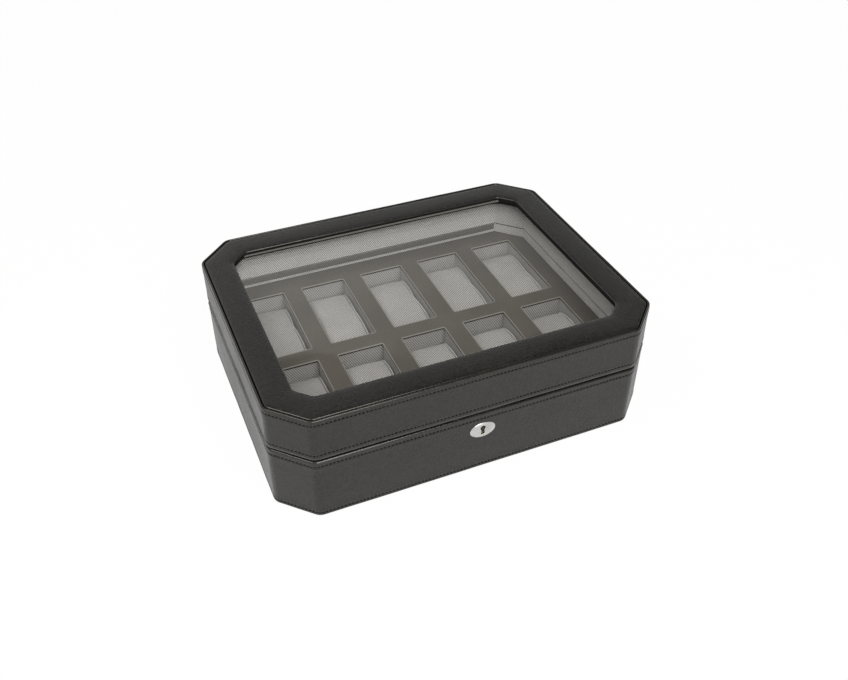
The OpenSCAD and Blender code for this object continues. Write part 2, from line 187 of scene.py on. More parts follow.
def leather_material(name, dark, light, rough, grain, depth):
    """Pebbled leatherette: rounded grains of about a millimetre with fine creases between them."""
    n = Nodes(name)
    at = n.place()
    wander = n.add("TexNoise", {"Vector": at, "Scale": 180.0, "Detail": 2.0})
    bent = n.vector("ADD", at, n.vector("MULTIPLY", wander.outputs["Color"], (0.0011,) * 3))
    cells = n.add("TexVoronoi", {"Vector": bent, "Scale": grain, "Smoothness": 0.6}, feature="SMOOTH_F1")
    small = n.add("TexVoronoi", {"Vector": bent, "Scale": grain * 2.3, "Smoothness": 0.8},
                  feature="SMOOTH_F1")
    pebble = n.ramp(cells.outputs["Distance"], 0.15, 0.75, 1.0, 0.0)
    fine = n.noise(at, 2600.0, 2.0)
    creases = n.noise(at, 420.0, 3.0, 0.6)
    height = n.plus(pebble, small.outputs["Distance"], -0.35)
    height = n.plus(height, fine, 0.25)
    height = n.plus(height, creases, 0.9)
    broad = n.noise(at, 14.0, 4.0)
    wear = n.attribute("wear")
    tone = n.plus(n.math("MULTIPLY", broad, 0.5), pebble, 0.2)
    tone = n.plus(tone, n.ramp(creases, 0.3, 0.7), 0.35)
    tone = n.plus(tone, wear, n.noise(at, 90.0, 3.0))
    colour = n.mix(n.ramp(tone, 0.25, 0.95, smooth=False), dark, light)
    roughness = n.ramp(broad, 0.25, 0.75, rough - 0.04, rough + 0.05)
    roughness = n.math("SUBTRACT", roughness, n.math("MULTIPLY", wear, 0.19))
    streaks = n.noise(n.vector("MULTIPLY", at, (1.0, 1.0, 0.35)), 800.0, 2.0, 0.7)
    roughness = n.math("ADD", roughness, n.ramp(streaks, 0.3, 0.7, -0.06, 0.06))
    height = n.plus(height, streaks, 1.5)
    height = n.math("MULTIPLY", height, n.math("SUBTRACT", 1.0, n.math("MULTIPLY", wear, 0.88)))
    return n.principled(Base_Color=colour, Roughness=roughness, Specular_Tint=(1.0, 0.985, 0.945, 1),
                        Normal=n.bump(height, depth))


FLOATS = 4.0   # floats side by side in the width of a rib


def weave_nodes(n, uv, rib, cross):
    """A twill: slanting ribs, each a row of short floats lying side by side.

    Gives the cloth's height and how much of each place belongs to a rib. rib is a rib's width in metres,
    and cross is how deep the threads across dent it.
    """
    parts = n.axes(n.vector("MULTIPLY", uv, (1 / rib,) * 3))
    u, v = parts[0], parts[1]
    floats_run = n.math("MULTIPLY", u, FLOATS)
    step = n.math("DIVIDE", n.math("FLOOR", floats_run), FLOATS)
    ribs = n.math("SUBTRACT", 1.0, n.math("POWER", n.saw(n.plus(step, v, 0.6)), 1.7))
    thread = n.math("SUBTRACT", 1.0, n.math("POWER", n.saw(floats_run), 2.4))
    floats = n.math("MULTIPLY", ribs, n.math("ADD", n.math("MULTIPLY", thread, 0.35), 0.65))
    if cross:
        dent = n.math("MULTIPLY", n.math("POWER", n.saw(n.math("MULTIPLY", v, 1.2)), 2.0), cross)
        floats = n.math("MULTIPLY", floats, n.math("SUBTRACT", 1.0, dent))
    return floats, n.ramp(floats, 0.15, 0.6)


def cloth_material(name, uv_of, gap, thread_dark, thread_light, rib=0.002, cross=0.0, level_shade=0.0):
    """Woven cloth. Its last argument is how much greyer its level edges are: painted shade on the lining's
    edges in the gap between lid and base.
    """
    n = Nodes(name)
    uv = uv_of(n)
    at = n.place()
    drift = n.add("TexNoise", {"Vector": at, "Scale": 40.0, "Detail": 2.0}).outputs["Color"]
    drift = n.vector("MULTIPLY", n.vector("SUBTRACT", drift, (0.5,) * 3), (0.0011,) * 3)
    height, floats = weave_nodes(n, n.vector("ADD", uv, drift), rib, cross)
    fibre = n.noise(at, 3500.0, 2.0)
    body = n.mix(n.ramp(n.noise(at, 30.0, 4.0), 0.3, 0.7), thread_dark, thread_light)
    body = n.mix(n.math("MULTIPLY", fibre, 0.25), body, grey(0.7, 0.02))
    colour = n.mix(floats, gap, body)
    # Darker beside the cuffs' seams: painted shade in the creases there.
    seam_shade = n.attribute("seam_shade")
    colour = n.mix(n.math("MULTIPLY", seam_shade, 0.75), colour, grey(0.05, 0.04))
    # Greyer level faces: painted shade in the gap between the lid's and the base's linings.
    if level_shade:
        level = is_level(n, n.add("TexCoord").outputs["Normal"])
        colour = n.mix(n.math("MULTIPLY", level, level_shade), colour, grey(0.2, 0.04))
    height = n.plus(height, fibre, 0.2)
    return n.principled(
        Base_Color=colour, Roughness=0.82, Specular_IOR_Level=0.25,
        Sheen_Weight=0.25, Sheen_Roughness=0.4, Normal=n.bump(height, 0.00022),
    )


def is_level(n, normal):
    """1 where a face looks up or down, else 0."""
    return n.math("GREATER_THAN", n.math("ABSOLUTE", n.axes(normal)[2]), 0.7)


def wall_uv(n):
    """Cloth coordinates from where a point is: along the wall and upwards, or the plan on level faces."""
    at = n.add("TexCoord")
    normal, place = at.outputs["Normal"], at.outputs["Object"]
    side = n.vector("NORMALIZE", n.vector("CROSS_PRODUCT", (0.0, 0.0, 1.0), normal))
    parts = n.axes(place)
    wall = n.add("CombineXYZ", {"X": n.vector("DOT_PRODUCT", place, side), "Y": parts[2]})
    level = n.add("CombineXYZ", {"X": parts[0], "Y": parts[1]})
    node = n.add("Mix", data_type="VECTOR")
    n.put(node.inputs["Factor"], is_level(n, normal))
    n.put(node.inputs[4], wall)
    n.put(node.inputs[5], level)
    return node.outputs[1]


def cuff_uv(n):
    """The cuff's own cloth coordinates, turned so that the ribs lie flatter across its top."""
    parts = n.axes(n.add("UVMap", uv_map="cloth").outputs[0])
    return n.add("CombineXYZ", {"X": parts[1], "Y": parts[0]})


def welt_uv(n):
    parts = n.axes(n.place())
    return n.add("CombineXYZ", {"X": n.math("ADD", parts[0], parts[1]), "Y": parts[2]})


def smooth_material(name, dark, light, rough, shade_below=None):
    """Smooth taupe leatherette: a faint mottle, very fine grain. Below a height it may turn near black:
    painted shade.
    """
    n = Nodes(name)
    at = n.place()
    broad = n.noise(at, 22.0, 5.0)
    grain = n.add("TexVoronoi", {"Vector": at, "Scale": 1900.0}, feature="SMOOTH_F1").outputs["Distance"]
    fine = n.noise(at, 900.0, 3.0)
    height = n.plus(grain, fine, 0.5)
    tone = n.plus(n.math("MULTIPLY", broad, 0.8), fine, 0.2)
    colour = n.mix(n.ramp(tone, 0.3, 0.7), dark, light)
    if shade_below:
        # Below the given height the colour turns near black: painted shade under the tray's rolled window
        # edges.
        painted_shade = n.ramp(n.axes(at)[2], shade_below - 0.0002, shade_below + 0.0001)
        colour = n.mix(painted_shade, (0.012, 0.011, 0.01, 1), colour)
    return n.principled(
        Base_Color=colour, Specular_IOR_Level=0.35,
        Roughness=n.ramp(broad, 0.3, 0.7, rough - 0.04, rough + 0.05), Normal=n.bump(height, 0.00006),
    )


def thread_material(name, dark, light):
    """Waxed thread: matt, with its twist showing as slanted lines."""
    n = Nodes(name)
    at = n.place()
    parts = n.axes(at)
    run = n.plus(n.math("ADD", parts[0], parts[1]), parts[2], 1.6)
    twist = n.math("SINE", n.math("MULTIPLY", run, 2 * math.pi / 0.0006))
    fuzz = n.noise(at, 4000.0, 2.0)
    height = n.math("ADD", n.math("MULTIPLY", twist, 0.5), fuzz)
    return n.principled(
        Base_Color=n.mix(n.ramp(fuzz, 0.3, 0.7), dark, light), Roughness=0.85, Specular_IOR_Level=0.12,
        Normal=n.bump(height, 0.00006),
    )


def board_material(name, lined_below=None):
    """Fibreboard. Below a height it may be covered in black."""
    n = Nodes(name)
    at = n.place()
    fibre = n.noise(n.vector("MULTIPLY", at, (1.0, 1.0, 3.0)), 900.0, 4.0, 0.7)
    colour = n.mix(n.ramp(fibre, 0.35, 0.65), (0.27, 0.17, 0.085, 1), (0.44, 0.31, 0.17, 1))
    if lined_below:
        level = n.axes(at)[2]
        colour = n.mix(n.ramp(level, lined_below - 0.0001, lined_below), grey(0.008, 0.06), colour)
    return n.principled(Base_Color=colour, Roughness=0.85, Normal=n.bump(fibre, 0.0002))


def felt_material(name, dark, light):
    """Matt felt or suede, with its fuzz."""
    n = Nodes(name)
    at = n.place()
    fuzz = n.noise(at, 1500.0, 5.0, 0.8)
    return n.principled(
        Base_Color=n.mix(n.ramp(fuzz, 0.35, 0.65), dark, light), Roughness=0.95,
        Specular_IOR_Level=0.15, Normal=n.bump(fuzz, 0.0003),
    )


def metal_material(name, dark, light, rough, brushed):
    """Plated metal: a faint cloudiness, with fine brushing where brushed is above 0."""
    n = Nodes(name)
    at = n.place()
    cloud = n.noise(at, 120.0, 4.0)
    lines = n.noise(n.vector("MULTIPLY", at, (60.0, 900.0, 900.0)), 8.0, 3.0)
    roughness = n.plus(n.ramp(cloud, 0.3, 0.7, rough - 0.05, rough + 0.06), lines, 0.06)
    return n.principled(
        Base_Color=n.mix(n.ramp(cloud, 0.3, 0.7), dark, light), Metallic=1.0, Roughness=roughness,
        Normal=n.bump(n.math("MULTIPLY", lines, brushed), 0.00004),
    )


def glass_material():
    """A clear pane: it lets light through and mirrors by Fresnel on both faces, with a little dust."""
    n = Nodes("window_glass")
    at = n.place()
    facing = n.add("LayerWeight", {"Blend": 0.5}).outputs["Facing"]
    mirror = n.math("ADD", 0.042, n.math("MULTIPLY", n.math("POWER", facing, 4.6), 0.95))
    clear = n.add("BsdfTransparent", {"Color": (0.955, 0.953, 0.947, 1)})
    smear = n.ramp(n.noise(at, 26.0, 5.0, 0.6), 0.35, 0.75, 0.02, 0.07)
    gloss = n.add("BsdfGlossy", {"Color": (1, 1, 1, 1), "Roughness": smear})
    return n.finish(n.blend(mirror, clear, gloss))


BLACK = leather_material("black_leatherette", grey(0.001, 0.08), grey(0.014, 0.09), 0.36, 1050.0, 0.00013)
EDGE = felt_material("window_edge", grey(0.003, 0.05), grey(0.007, 0.05))
# A lighter grey for the foot of the back reveal only: painted light where the lamps fall on it.
LIT_EDGE_FOOT = felt_material("window_edge_foot_painted_light", grey(0.1, 0.05), grey(0.14, 0.05))
BLACK_FINE = thread_material("black_thread", grey(0.003, 0.05), grey(0.008, 0.05))
TAUPE_TONES = ((0.113, 0.104, 0.091, 1), (0.134, 0.124, 0.108, 1))
TAUPE = smooth_material("taupe_leatherette", *TAUPE_TONES, 0.62)
# Its colour turns near black below 51.3 mm: painted shade under the tray's rolled window edges.
TRAY = smooth_material("tray_leatherette", *TAUPE_TONES, 0.62, shade_below=0.0513)
# The hems' paler taupe is a painted highlight along the tray's window edges.
HEM_HIGHLIGHT = smooth_material("taupe_hem_painted_highlight", (0.26, 0.245, 0.22, 1), (0.31, 0.29, 0.265, 1), 0.45)
# The lining and the wells are one cloth: the lining's paler copy is painted light, the wells' darker copy
# painted shade.
LINING_LIT = cloth_material("woven_lining", wall_uv, grey(0.12, 0.02), grey(0.88, 0.01), grey(0.93, 0.01),
                        0.0018, cross=0.5, level_shade=0.7)
WEAVE_SHADED = cloth_material("woven_wells_painted_shade", wall_uv, grey(0.08, 0.02), grey(0.5, 0.012), grey(0.57, 0.012))
CUFF = cloth_material("cuff_cloth", cuff_uv, grey(0.1, 0.02), grey(0.49, 0.012), grey(0.56, 0.012), 0.0021)
# The welt's cloth is paler than the cuff's: a painted highlight along the seams.
WELT_HIGHLIGHT = cloth_material("cuff_welt_painted_highlight", welt_uv, grey(0.3, 0.03), grey(0.8, 0.015), grey(0.9, 0.015), 0.0011)
BOARD = board_material("fibreboard")
LINED_BOARD = board_material("lined_fibreboard", (SHELF_Z + 0.3) * MM)
FELT = felt_material("base_felt", grey(0.012), grey(0.03))
PACKING = felt_material("packing", grey(0.02), grey(0.04))
NICKEL = metal_material("bright_nickel", (0.52, 0.51, 0.495, 1), (0.64, 0.63, 0.61, 1), 0.26, 0.3)
STEEL = metal_material("plated_steel", (0.5, 0.49, 0.47, 1), (0.66, 0.65, 0.62, 1), 0.33, 1.0)
GLASS = glass_material()

CAD_MATERIALS = (
    (BOARD, "base_bottom_panel base_carcass lid_carcass"),
    (LINED_BOARD, "lid_top_board"),
    (LINING_LIT, "base_lining lid_lining"),
    (WEAVE_SHADED, "floor_lining front_rail rear_rail left_rail right_rail lengthwise_divider"
            " cross_divider_1 cross_divider_2 cross_divider_3 cross_divider_4"),
    (STEEL, "lock_case lock_cover lock_face_plate lock_screws lock_bolt strike_plate strike_screws"
            " hinge_base_leaves hinge_pins hinge_base_screws hinge_lid_leaves hinge_lid_screws"),
    (GLASS, "glass_pane"), (PACKING, "glass_packing"), (BLACK, "glass_retainer"), (FELT, "base_felt"),
)
for cad_material, node_names in CAD_MATERIALS:
    for node_name in node_names.split():
        slots = frame["nodes"][node_name].data.materials
        slots.clear()
        slots.append(cad_material)

# ---------- Outlines ----------


def corners(inset):
    """The plan's eight corners, moved inwards, before any rounding."""
    hw, hd = (BOX_W - 2 * inset) / 2, (BOX_D - 2 * inset) / 2
    c = CORNER_CUT - inset * CUT_SHRINK
    return [(hw, hd - c), (hw - c, hd), (c - hw, hd), (-hw, hd - c),
            (-hw, c - hd), (c - hw, -hd), (hw - c, -hd), (hw, c - hd)]


def arc_middles(inset, r):
    """The middles of the eight arcs that round the corners."""
    reach = r / math.cos(math.radians(22.5))
    middles = []
    for k, (x, y) in enumerate(corners(inset)):
        a = math.radians(45 * k + 22.5)
        middles.append((x - reach * math.cos(a), y - reach * math.sin(a)))
    return middles


def outline(inset, r, counts):
    """Points and outward normals round the plan. counts gives each arc's and straight's steps in turn."""
    middles = arc_middles(inset, r)
    points, normals = [], []
    for k, (mx, my) in enumerate(middles):
        for i in range(counts[2 * k]):
            a = math.radians(45 * (k + i / counts[2 * k]))
            normals.append((math.cos(a), math.sin(a)))
            points.append((mx + r * math.cos(a), my + r * math.sin(a)))
        a = math.radians(45 * (k + 1))
        n = (math.cos(a), math.sin(a))
        start = (mx + r * n[0], my + r * n[1])
        nx, ny = middles[(k + 1) % 8]
        end = (nx + r * n[0], ny + r * n[1])
        steps = counts[2 * k + 1]
        for i in range(steps):
            t = i / steps
            normals.append(n)
            points.append((start[0] + t * (end[0] - start[0]), start[1] + t * (end[1] - start[1])))
    return np.array(points), np.array(normals)


def lengths(r):
    """Length of each arc and straight in turn, round the box itself."""
    middles = arc_middles(0, r)
    out = []
    for k in range(8):
        out += [r * math.pi / 4, math.dist(middles[k], middles[(k + 1) % 8])]
    return out


PER_STITCH = 4   # columns of the skins to each stitch
STITCH_COUNTS = [max(2, round(length / STITCH)) for length in lengths(EDGE_R)]
LINE, NORMAL = outline(0, EDGE_R, [PER_STITCH * c for c in STITCH_COUNTS])
COLUMNS = len(LINE)
ALONG = np.concatenate([[0], np.cumsum(np.linalg.norm(np.diff(LINE, axis=0), axis=1))])
PHASE = np.arange(COLUMNS) / PER_STITCH   # counts stitches; a needle hole lies at each whole number


# ---------- Meshes ----------


def new_object(name, data):
    obj = bpy.data.objects.new(name, data)
    bpy.context.scene.collection.objects.link(obj)
    return obj


def mesh_object(name, verts, faces):
    """A mesh object from millimetres, with its faces turned outwards."""
    mesh = bpy.data.meshes.new(name)
    mesh.from_pydata((np.asarray(verts, float) * MM).tolist(), [], faces)
    obj = new_object(name, mesh)
    outwards(obj)
    return obj


def add_object(name, verts, faces, material, sharp=30.0):
    """The same with its material. Edges sharper than the angle stay sharp."""
    obj = mesh_object(name, verts, faces)
    obj.data.materials.append(material)
    shade(obj, sharp)
    return obj


def outwards(obj, weld=False):
    bm = bmesh.new()
    bm.from_mesh(obj.data)
    if weld:
        bmesh.ops.remove_doubles(bm, verts=bm.verts, dist=1e-6)
    bmesh.ops.recalc_face_normals(bm, faces=bm.faces)
    bm.to_mesh(obj.data)
    bm.free()


def shade(obj, sharp):
    obj.data.polygons.foreach_set("use_smooth", [True] * len(obj.data.polygons))
    obj.data.set_sharp_from_angle(angle=math.radians(sharp))


def grid_faces(rows, columns, close_rows=False, base=0):
    """Faces of a grid of points from number base on. Its columns run in a ring, and its rows may too."""
    faces = []
    for r in range(rows if close_rows else rows - 1):
        a, b = base + r * columns, base + (r + 1) % rows * columns
        for c in range(columns):
            d = (c + 1) % columns
            faces.append((a + c, a + d, b + d, b + c))
    return faces


def applied(obj):
    """Replaces the object's mesh by the one its modifiers make."""
    graph = bpy.context.evaluated_depsgraph_get()
    mesh = bpy.data.meshes.new_from_object(obj.evaluated_get(graph))
    obj.modifiers.clear()
    old, obj.data = obj.data, mesh
    mesh.name = old.name
    bpy.data.meshes.remove(old)


def cut(obj, cutters, sharp=30.0):
    """Cuts closed shapes out of a closed mesh and removes them."""
    for cutter in cutters:
        m = obj.modifiers.new("cut", "BOOLEAN")
        m.operation, m.solver, m.object = "DIFFERENCE", "MANIFOLD", cutter
    applied(obj)
    for cutter in cutters:
        bpy.data.objects.remove(cutter)
    shade(obj, sharp)


def box_cutter(x0, x1, y0, y1, z0, z1):
    verts = [(x, y, z) for x in (x0, x1) for y in (y0, y1) for z in (z0, z1)]
    faces = [(0, 1, 3, 2), (4, 6, 7, 5), (0, 4, 5, 1), (2, 3, 7, 6), (0, 2, 6, 4), (1, 5, 7, 3)]
    return add_object("cutter", verts, faces, BLACK)


def prism_cutter(near, far):
    """A shape between two like rings of points."""
    n = len(near)
    caps = [tuple(range(n)), tuple(range(2 * n - 1, n - 1, -1))]
    return add_object("cutter", near + far, caps + grid_faces(2, n), BLACK)


def rod_cutter(x, r, l):
    ring = [(math.cos(a), math.sin(a)) for a in np.linspace(0, 2 * math.pi, 49)[:-1]]
    return prism_cutter(*([(x + e * l / 2, HINGE_Y + r * c, HINGE_Z + r * s) for c, s in ring]
                          for e in (-1, 1)))


def keyhole_line(grow, steps=20):
    """The keyhole's outline as (x, z), from the foot's left end round the hole to its right end."""
    r = KEY_R + grow
    half = 1.1 + grow
    start = math.asin(min(half * 1.16 / r, 1))
    arc = [start + (2 * math.pi - 2 * start) * i / steps for i in range(steps + 1)]
    points = [(-r * math.sin(a), KEY_Z - r * math.cos(a)) for a in arc]
    foot = 1.7 + grow
    return [(foot, KEY_Z - KEY_DROP - grow), (-foot, KEY_Z - KEY_DROP - grow)] + points


def at_height(line, z):
    """Plan points with a height."""
    return np.column_stack([line, np.full(len(line), z)])


def closed_grid(name, grid, material, sharp):
    """An object from rings of points, the last of which joins the first again."""
    faces = grid_faces(len(grid), len(grid[0]), True)
    return add_object(name, grid.reshape(-1, 3), faces, material, sharp)


# ---------- Leatherette skins ----------


def bevelled(points, depth, to_lid):
    """Brings what stands over the back rim's slope down onto it."""
    top = BASE_H - depth
    start = HINGE_Y - (STOP_GAP + depth + (top - HINGE_Z) * math.cos(SLOPE)) / math.sin(SLOPE)
    z = 2 * HINGE_Z - points[..., 2] if to_lid else points[..., 2].copy()
    over = (points[..., 1] - start) * math.sin(SLOPE) + (z - top) * math.cos(SLOPE)
    over = np.clip(over, 0, None)
    points[..., 1] -= over * math.sin(SLOPE)
    z -= over * math.cos(SLOPE)
    points[..., 2] = 2 * HINGE_Z - z if to_lid else z
    return points


def arc_rows(inset, z, r, start, end, steps):
    """Rows of (inset, z) round an arc, from below (-90) over outside (0) to the top (90)."""
    out = []
    for i in range(steps + 1):
        a = math.radians(start + (end - start) * i / steps)
        out.append((inset - r * math.cos(a), z + r * math.sin(a)))
    return out


GROOVE_ROWS = (-2.4, -1.7, -1.2, -0.8, -0.5, -0.25, 0.0, 0.25, 0.5, 0.8, 1.2, 1.7, 2.4)
GROOVE_DEEP, GROOVE_WIDE = 0.12, 0.55
SEAM_REACH = 4   # how far from a seam the skin is drawn in


def seam_sink(dz):
    """How far the skin is drawn in at a distance dz from a seam, for every column."""
    pull = 1 + 0.6 * np.cos(2 * math.pi * PHASE)
    swell = 0.16 * math.exp(-(((abs(dz) - 1.9) / 0.9) ** 2))
    pucker = 0.05 * np.cos(2 * math.pi * PHASE) * math.exp(-((dz / 1.8) ** 2))
    return GROOVE_DEEP * pull * math.exp(-((dz / GROOVE_WIDE) ** 2)) - swell + pucker


def ripple(z, seed):
    """Slow hand-made unevenness of a face, in millimetres."""
    a = 0.05 * np.sin(ALONG / 23.0 + seed + z * 0.05) + 0.035 * np.sin(ALONG / 9.7 + 2.1 * seed - z * 0.11)
    return a + 0.02 * np.sin(ALONG / 4.3 + z * 0.4 + seed)


def skin(name, outer, inner, seams, to_lid, seed):
    """A closed skin: outer and inner are rows of (inset, z), and seams are heights on the outer face."""
    shell = []
    for inset, z in outer:
        sink = np.full(COLUMNS, float(inset))
        for seam in seams:
            if abs(z - seam) < SEAM_REACH and inset < 0.9:
                sink = sink + seam_sink(z - seam)
        if inset < 1:
            sink = sink + ripple(z, seed)
        shell.append(at_height(LINE - sink[:, None] * NORMAL, z))
    core = [at_height(LINE - inset * NORMAL, z) for inset, z in inner]
    grid = np.concatenate([bevelled(np.array(shell), 0.0, to_lid),
                           bevelled(np.array(core), LEATHER_T, to_lid)])
    return closed_grid(name, grid, BLACK, 40)


def add_wear(obj, bands):
    """Marks rubbed edges. Each band is four rising heights: the wear starts, is full, is full still, ends."""
    z = np.array([v.co.z for v in obj.data.vertices]) / MM
    worn = np.zeros(len(z))
    for band in bands:
        worn = np.maximum(worn, np.interp(z, band, (0, 1, 1, 0)))
    layer = obj.data.attributes.new("wear", "FLOAT", "POINT")
    layer.data.foreach_set("value", worn)


def straight_rows(low, high, seams):
    """Rows up a face, close together near its seams and else about 6 mm apart."""
    heights = {round(s + d, 3) for s in seams for d in GROOVE_ROWS if low < s + d < high}
    steps = max(1, round((high - low) / 6))
    for i in range(1, steps):
        z = low + (high - low) * i / steps
        if all(abs(z - s) > 3.2 for s in seams):
            heights.add(round(z, 3))
    return [(0.0, z) for z in sorted(heights)]


def rim_cutters(to_lid):
    """Room for the hinges and for the lock's plate in the skin of a rim."""
    def flip(z0, z1):
        return (2 * HINGE_Z - z1, 2 * HINGE_Z - z0) if to_lid else (z0, z1)

    cutters = []
    z0, z1 = flip(BASE_H - LEATHER_T - 0.02, BASE_H + 2)
    for side in (-1, 1):
        x = side * HINGE_X
        cutters.append(rod_cutter(x, KNUCKLE_R + SWING_GAP, HINGE_L + 2 * SWING_GAP))
        half = HINGE_L / 2 + FIT
        cutters.append(box_cutter(x - half, x + half, BOX_D / 2 - WALL_T - 2, HINGE_Y, z0, z1))
    half = PLATE_W / 2 + FIT
    cutters.append(box_cutter(-half, half, PLATE_Y - FIT, PLATE_Y + 12, z0, z1))
    return cutters


def base_skin():
    top = BASE_H - HEM_R
    outer = [(WALL_T, 0.8), (5.0, 0.8)]
    outer += arc_rows(HEM_R, 0.8 + HEM_R, HEM_R, -90, 0, 6)
    outer += straight_rows(0.8 + HEM_R + 0.1, 57.2, BASE_SEAMS)
    outer += arc_rows(HEM_R - RIM_PROUD, top, HEM_R, 0, 90, 8)
    outer += [(1.8, BASE_H - 0.35), (2.3, BASE_H - 0.85), (3.0, BASE_H - 0.9), (3.7, BASE_H - 0.25)]
    outer += [(4.3, BASE_H), (6.0, BASE_H), (8.9, BASE_H), (WALL_T, BASE_H - 0.4)]
    inner = [(WALL_T, BASE_H - LEATHER_T), (LEATHER_T, BASE_H - LEATHER_T), (LEATHER_T, 56.0),
             (LEATHER_T, 30.0), (LEATHER_T, 2.6), (LEATHER_T + 0.5, 2.0), (WALL_T, 2.0)]
    obj = skin("base_skin", outer, inner, BASE_SEAMS, False, 0.4)
    keyhole = prism_cutter(*([(x, y - BOX_D / 2, z) for x, z in keyhole_line(0.6)] for y in (-3, 3)))
    cut(obj, rim_cutters(False) + [keyhole], 40)
    add_wear(obj, [(56.8, 58.0, 60.1, 60.2)])
    return obj


def lid_skin():
    lip = LIP_T / 2
    outer = [(WALL_T, LID_Z + 0.4), (8.9, LID_Z), (6.0, LID_Z), (4.7, LID_Z)]
    outer += [(4.1, LID_Z + 0.25), (3.4, LID_Z + 0.9), (2.7, LID_Z + 0.85), (2.2, LID_Z + 0.35)]
    outer += arc_rows(HEM_R, LID_Z + HEM_R, HEM_R, -90, 0, 8)
    outer += straight_rows(LID_Z + HEM_R + 0.1, LIP_TOP - lip - 0.1, LID_SEAMS)
    outer += arc_rows(lip, LIP_TOP - lip, lip, 0, 180, 10)
    outer += [(LIP_T, 98.0), (LIP_T, SHELF_Z + 0.3), (PANEL_INSET - 0.02, SHELF_Z + 0.3),
              (PANEL_INSET - 0.02, SHELF_Z)]
    inner = [(LEATHER_T, SHELF_Z), (LEATHER_T, 80.0), (LEATHER_T, 65.2),
             (LEATHER_T, LID_Z + LEATHER_T), (WALL_T, LID_Z + LEATHER_T)]
    obj = skin("lid_skin", outer, inner, LID_SEAMS, True, 1.9)
    cut(obj, rim_cutters(True), 40)
    add_wear(obj, [(99.0, 99.9, 101.0, 101.1), (61.0, 61.1, 62.6, 64.0)])
    return obj


THREAD_PROUD, THREAD_LONG, THREAD_WIDE, THREAD_THICK, THREAD_DIP = 0.06, 0.35, 0.56, 0.28, 0.3


def stitches(name, seam):
    """One short thread for every stitch of a seam, tilted a little and sunk at both ends."""
    rng = random.Random(len(name))
    rings, sides = 6, 7
    shape = []
    for i in range(rings):
        t = -1 + 2 * i / (rings - 1)
        size = math.sqrt(max(0.0, 1 - (t * 0.93) ** 4))
        for k in range(sides):
            a = 2 * math.pi * k / sides
            shape.append((t, size * math.cos(a), size * math.sin(a)))
    shape = np.array(shape)
    faces = grid_faces(rings, sides)
    faces += [tuple(range(sides - 1, -1, -1)), tuple(range((rings - 1) * sides, rings * sides))]
    verts, all_faces = [], []
    for s in range(COLUMNS // PER_STITCH):
        a, b = s * PER_STITCH, (s + 1) * PER_STITCH % COLUMNS
        p, q = LINE[a], LINE[b]
        n = NORMAL[a] + NORMAL[b]
        n = n / np.linalg.norm(n)
        length = np.linalg.norm(q - p)
        along = np.array([*(q - p) / length, 0.0])
        out = np.array([*n, 0.0])
        tilt = math.radians(7 + rng.uniform(-3, 3))
        up = np.array([0.0, 0.0, 1.0])
        run = along * math.cos(tilt) + up * math.sin(tilt)
        side = up * math.cos(tilt) - along * math.sin(tilt)
        dip = THREAD_DIP * shape[:, 0] ** 2
        middle = np.array([*(p + q) / 2, seam + rng.uniform(-0.05, 0.05)]) + out * THREAD_PROUD
        v = (middle + np.outer(shape[:, 0] * (length * THREAD_LONG), run)
             + np.outer(shape[:, 1] * THREAD_WIDE, side) + np.outer(shape[:, 2] * THREAD_THICK - dip, out))
        base = len(verts)
        verts.extend(v)
        all_faces += [tuple(base + i for i in f) for f in faces]
    return add_object(name, verts, all_faces, BLACK_FINE, 60)


PANEL_EDGE = 0.44                # how far the panel's edges lie under its crown
EDGE_Z, EDGE_FOOT_Z = 99.7, 97.3   # where its sides turn dark, and where the back one's foot turns a lighter grey: painted light


def panel():
    """The padded frame round the window, as one closed skin over its board."""
    counts = [8 if i % 2 == 0 else max(6, round(length / 4)) for i, length in enumerate(lengths(EDGE_R))]
    out_line, out_n = outline(0, EDGE_R, counts)
    win_line, win_n = outline(FRAME_W, WINDOW_R, counts)
    rows = []

    def outer_row(inset, z):
        rows.append(at_height(out_line - inset * out_n, z))

    def window_row(grow, z):
        rows.append(at_height(win_line + grow * win_n, z))

    outer_row(PANEL_INSET, SHELF_Z)
    for inset, z in arc_rows(PANEL_INSET + PANEL_R, BOX_H - PANEL_EDGE - PANEL_R, PANEL_R, 0, 84, 8):
        outer_row(inset, z)
    a = out_line - (PANEL_INSET + PANEL_R + 0.6) * out_n
    b = win_line + (WINDOW_ROLL + 1.2) * win_n
    for i in range(13):
        t = i / 12
        rows.append(at_height(a + t * (b - a), BOX_H - 0.42 * (2 * t - 1) ** 2))
    for i in range(1, 11):
        angle = math.radians(90 * i / 10)
        sink = WINDOW_ROLL * (1 - math.cos(angle))
        window_row(WINDOW_ROLL * (1 - math.sin(angle)), BOX_H - PANEL_EDGE - sink)
    window_row(0.0, EDGE_FOOT_Z)
    window_row(0.0, SHELF_Z)
    under, inset = BOX_H - PANEL_SKIN, PANEL_INSET + PANEL_SKIN
    window_row(PANEL_SKIN, SHELF_Z)
    window_row(PANEL_SKIN, under - 2.0)
    window_row(PANEL_SKIN + 1.6, under - 0.3)
    outer_row(inset + 1.2, under - 0.4)
    outer_row(inset, under - 2.0)
    outer_row(inset, SHELF_Z)
    obj = closed_grid("lid_panel_skin", np.array(rows), BLACK, 50)
    add_wear(obj, [(99.2, 99.8, 100.5, 100.66)])
    obj.data.materials.append(EDGE)
    obj.data.materials.append(LIT_EDGE_FOOT)
    # The back reveal's foot faces the lamps and gets the lighter grey: painted light.
    for face in obj.data.polygons:
        if face.center.z < (EDGE_FOOT_Z - 0.1) * MM and face.normal.y < -0.9:
            face.material_index = 2
        elif face.center.z < EDGE_Z * MM:
            face.material_index = 1
    return obj


# ---------- Tray, strip, escutcheon ----------


